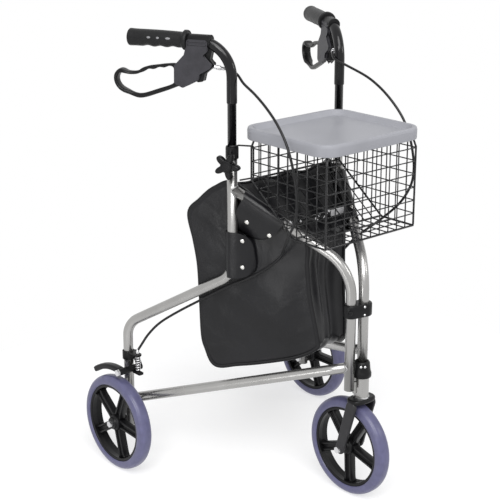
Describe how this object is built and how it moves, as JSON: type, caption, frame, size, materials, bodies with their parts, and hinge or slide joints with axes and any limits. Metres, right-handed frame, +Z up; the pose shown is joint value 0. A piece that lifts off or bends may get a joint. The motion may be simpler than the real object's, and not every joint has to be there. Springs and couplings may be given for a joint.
{
  "type": "three wheel rollator",
  "caption": "Folding tubular walking frame with swivelling front wheel, rear wheels with cable brakes, height-adjustable handles, soft bag, wire basket and tray.",
  "frame": {"origin": "on the floor, under the middle of the part's box", "axes": "+Z up, the walker faces -Y, the user's right side is -X"},
  "size_m": [0.6042, 0.592, 0.908],
  "materials": {
    "aluminium": "satin",
    "steel": "satin",
    "black_tube": "gloss",
    "black_plastic": "matte",
    "grey_plastic": "matte",
    "grip_rubber": "matte",
    "cable_sheath": "satin",
    "tyre": "matte",
    "vinyl": "satin",
    "black_wire": "gloss",
    "tray_plastic": "satin"
  },
  "bodies": {
    "right_frame": {"right_main_tube": "aluminium", "right_front_tube": "aluminium", "right_lower_bar": "aluminium", "head_tube": "aluminium", "head_bearings": "steel", "hinge_knuckle": "grey_plastic", "pivot_cap": "black_plastic", "right_axle": "steel", "right_collar": "black_plastic", "right_brake_bracket": "black_plastic", "right_brake_bolt": "steel", "right_brake_spring": "steel", "right_brake_cable": "cable_sheath", "right_bag_panel": "vinyl", "right_bag_flaps": "vinyl", "right_bag_studs": "steel", "bag_gusset": "vinyl"},
    "left_frame": {"left_main_tube": "aluminium", "left_front_tube": "aluminium", "left_lower_bar": "aluminium", "left_axle": "steel", "left_collar": "black_plastic", "left_brake_bracket": "black_plastic", "left_brake_bolt": "steel", "left_brake_spring": "steel", "left_brake_cable": "cable_sheath", "left_bag_panel": "vinyl", "left_bag_flaps": "vinyl", "left_bag_studs": "steel"},
    "fork": {"fork": "grey_plastic", "fork_stem": "steel", "front_axle": "steel"},
    "front_wheel": {"front_rim": "black_plastic", "front_tyre": "tyre"},
    "basket": {"basket_front": "black_wire", "basket_back": "black_wire", "basket_slope": "black_wire", "basket_floor": "black_wire", "basket_right": "black_wire", "basket_left": "black_wire", "basket_hooks": "black_wire"},
    "tray": {"tray": "tray_plastic"},
    "right_handle": {"right_handle_tube": "black_tube", "right_grip": "grip_rubber", "right_lever_housing": "grey_plastic", "right_lever_pin": "steel"},
    "right_lever": {"right_brake_lever": "grey_plastic"},
    "right_knob": {"right_star_knob": "black_plastic"},
    "right_brake": {"right_brake_shoe": "black_plastic"},
    "right_wheel": {"right_rim": "black_plastic", "right_tyre": "tyre"},
    "left_handle": {"left_handle_tube": "black_tube", "left_grip": "grip_rubber", "left_lever_housing": "grey_plastic", "left_lever_pin": "steel"},
    "left_lever": {"left_brake_lever": "grey_plastic"},
    "left_knob": {"left_star_knob": "black_plastic"},
    "left_brake": {"left_brake_shoe": "black_plastic"},
    "left_wheel": {"left_rim": "black_plastic", "left_tyre": "tyre"}
  },
  "joints": [
    {"name": "frame_fold", "type": "hinge", "parent": "right_frame", "child": "left_frame", "pos_m": [0, -0.224, 0.396], "axis": [0, 0, 1], "range_deg": [0, 48], "deforming": ["bag_gusset", "left_brake_cable"]},
    {"name": "fork_swivel", "type": "hinge", "parent": "right_frame", "child": "fork", "pos_m": [0, -0.224, 0.236], "axis": [0, 0, 1], "continuous": true},
    {"name": "front_wheel_spin", "type": "hinge", "parent": "fork", "child": "front_wheel", "pos_m": [0, -0.196, 0.1], "axis": [1, 0, 0], "continuous": true},
    {"name": "basket_lift", "type": "slide", "parent": "right_frame", "child": "basket", "axis": [0, 0, 1], "range_m": [0, 0.1]},
    {"name": "tray_lift", "type": "slide", "parent": "basket", "child": "tray", "axis": [0, 0, 1], "range_m": [0, 0.06]},
    {"name": "right_wheel_spin", "type": "hinge", "parent": "right_frame", "child": "right_wheel", "pos_m": [-0.278, 0.196, 0.1], "axis": [1, 0, 0], "continuous": true},
    {"name": "right_handle_slide", "type": "slide", "parent": "right_frame", "child": "right_handle", "axis": [0, 0, 1], "range_m": [-0.07, 0.06], "deforming": ["right_brake_cable"]},
    {"name": "right_lever_hinge", "type": "hinge", "parent": "right_handle", "child": "right_lever", "pos_m": [-0.18266, 0.07278, 0.826], "axis": [0.8864, 0.4629, 0], "range_deg": [0, 13], "stiffness_Nm_per_rad": 3},
    {"name": "right_brake_pivot", "type": "hinge", "parent": "right_frame", "child": "right_brake", "pos_m": [-0.247, 0.178, 0.216], "axis": [-1, 0, 0], "range_deg": [0, 7], "deforming": ["right_brake_spring"]},
    {"name": "right_knob_turn", "type": "hinge", "parent": "right_frame", "child": "right_knob", "pos_m": [-0.141, -0.007, 0.6615], "axis": [-0.8864, -0.4629, 0], "continuous": true},
    {"name": "left_wheel_spin", "type": "hinge", "parent": "left_frame", "child": "left_wheel", "pos_m": [0.278, 0.196, 0.1], "axis": [1, 0, 0], "continuous": true},
    {"name": "left_handle_slide", "type": "slide", "parent": "left_frame", "child": "left_handle", "axis": [0, 0, 1], "range_m": [-0.07, 0.06], "deforming": ["left_brake_cable"]},
    {"name": "left_lever_hinge", "type": "hinge", "parent": "left_handle", "child": "left_lever", "pos_m": [0.18266, 0.07278, 0.826], "axis": [0.8864, -0.4629, 0], "range_deg": [0, 13], "stiffness_Nm_per_rad": 3},
    {"name": "left_brake_pivot", "type": "hinge", "parent": "left_frame", "child": "left_brake", "pos_m": [0.247, 0.178, 0.216], "axis": [-1, 0, 0], "range_deg": [0, 7], "deforming": ["left_brake_spring"]},
    {"name": "left_knob_turn", "type": "hinge", "parent": "left_frame", "child": "left_knob", "pos_m": [0.141, -0.007, 0.6615], "axis": [0.8864, -0.4629, 0], "continuous": true}
  ],
  "couplings": [
    {"joint": "right_brake_pivot", "follows": "right_lever_hinge", "ratio": 0.53846},
    {"joint": "left_brake_pivot", "follows": "left_lever_hinge", "ratio": 0.53846}
  ]
}
